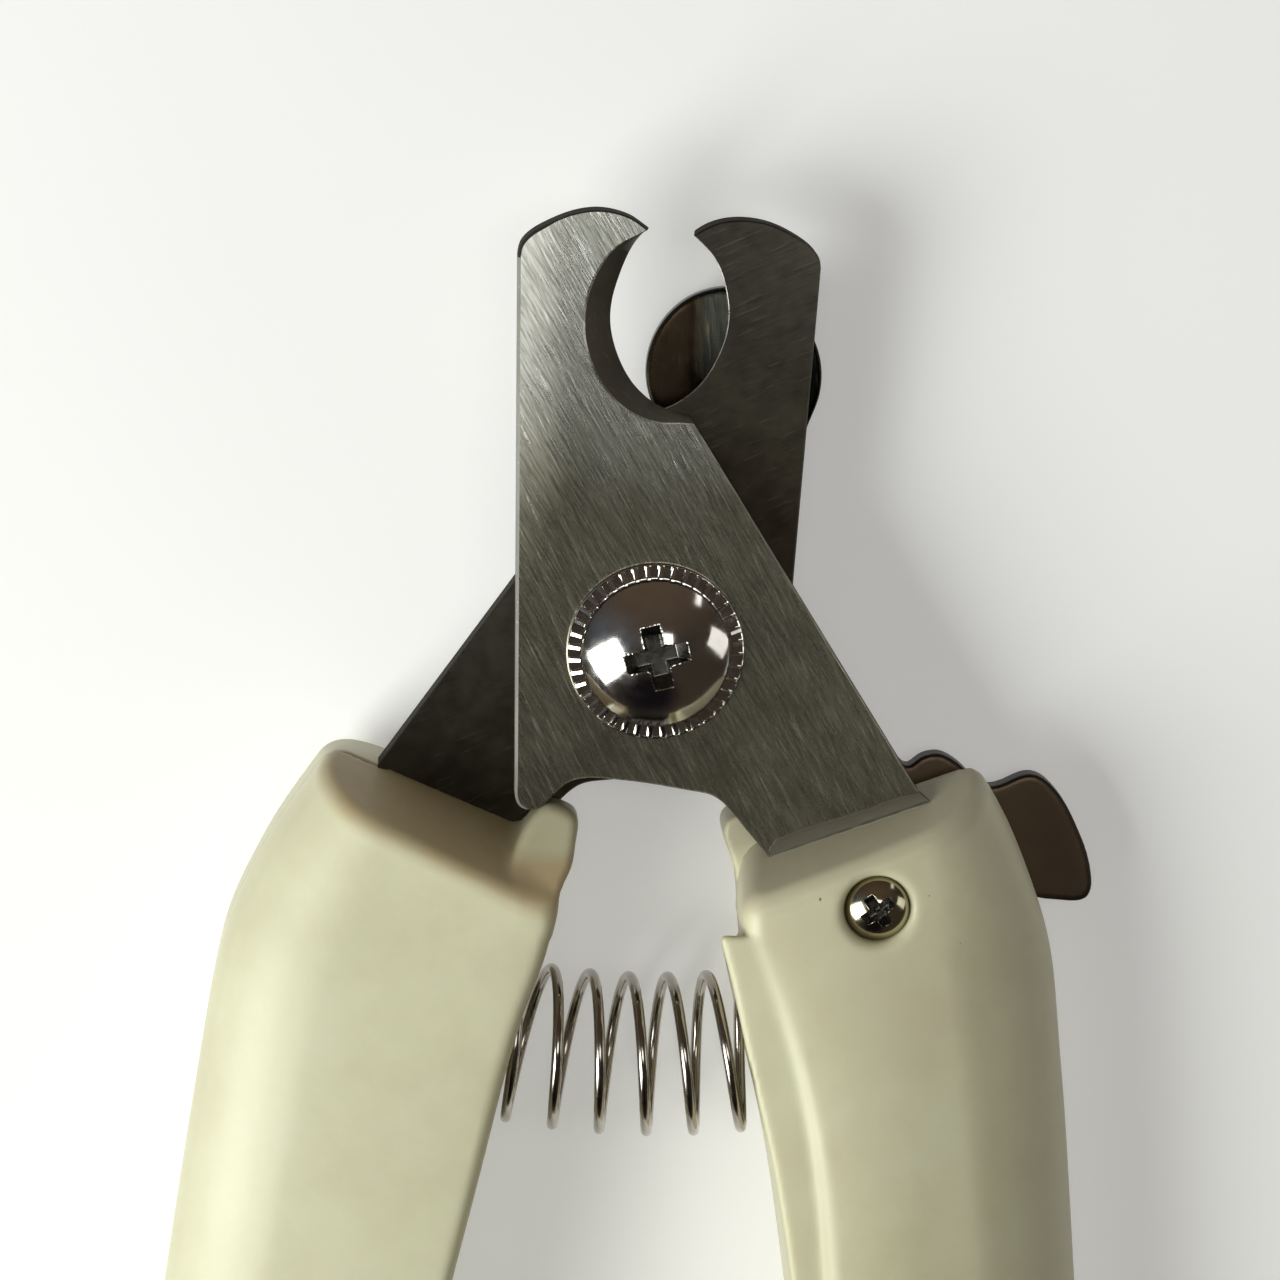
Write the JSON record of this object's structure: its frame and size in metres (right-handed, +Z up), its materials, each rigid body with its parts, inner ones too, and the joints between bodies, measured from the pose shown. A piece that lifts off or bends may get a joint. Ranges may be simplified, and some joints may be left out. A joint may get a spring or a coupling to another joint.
{
  "type": "pet nail clipper",
  "caption": "Plier-type pet nail clipper: two crossed notched steel blades on a domed pivot screw, moulded cream handles, coil return spring and swivelling quick guard.",
  "frame": {"origin": "bottom centre of the clipper's box as it lies on the rear faces of its handles", "axes": "+Z up out of the front face (the side with the domed pivot screw), +Y towards the blade tips, +X to the right seen from the front; blades meet in a plane 8.2 mm above the rest plane"},
  "size_m": [0.0708, 0.1436, 0.0164],
  "materials": {
    "blade_steel": "brushed with a coarse slanting grain, slightly darkened",
    "polished_chrome": "polished, mirror-like",
    "plain_steel": "zinc-plated, satin",
    "guard_steel": "dark, smooth, tumbled edges",
    "cream_plastic": "moulded, soft gloss, faintly mottled cream",
    "screw_nickel": "bright, warm nickel",
    "spring_wire": "drawn nickel-plated wire"
  },
  "bodies": {
    "right_half": {"front_blade": "blade_steel", "pivot_screw": "polished_chrome", "serrated_washer": "polished_chrome", "pivot_washer": "plain_steel", "wave_washer": "plain_steel", "lock_nut": "plain_steel", "right_handle_front_shell": "cream_plastic", "right_handle_rear_shell": "cream_plastic", "right_handle_screws": "screw_nickel", "return_spring": "spring_wire"},
    "left_half": {"rear_blade": "blade_steel", "left_handle_front_shell": "cream_plastic", "left_handle_rear_shell": "cream_plastic", "left_handle_screws": "screw_nickel"},
    "guard": {"quick_guard": "guard_steel"}
  },
  "joints": [
    {"name": "blade_pivot", "type": "hinge", "parent": "right_half", "child": "left_half", "pos_m": [0, 0.04123, 0.0082], "axis": [0, 0, 1], "range_deg": [0, 22], "stiffness_Nm_per_rad": 0.16, "springref_deg": -9.74, "deforming": ["return_spring"]},
    {"name": "guard_swing", "type": "hinge", "parent": "right_half", "child": "guard", "pos_m": [0, 0.04123, 0.0042], "axis": [0, 0, 1], "range_deg": [-6, 16]}
  ]
}
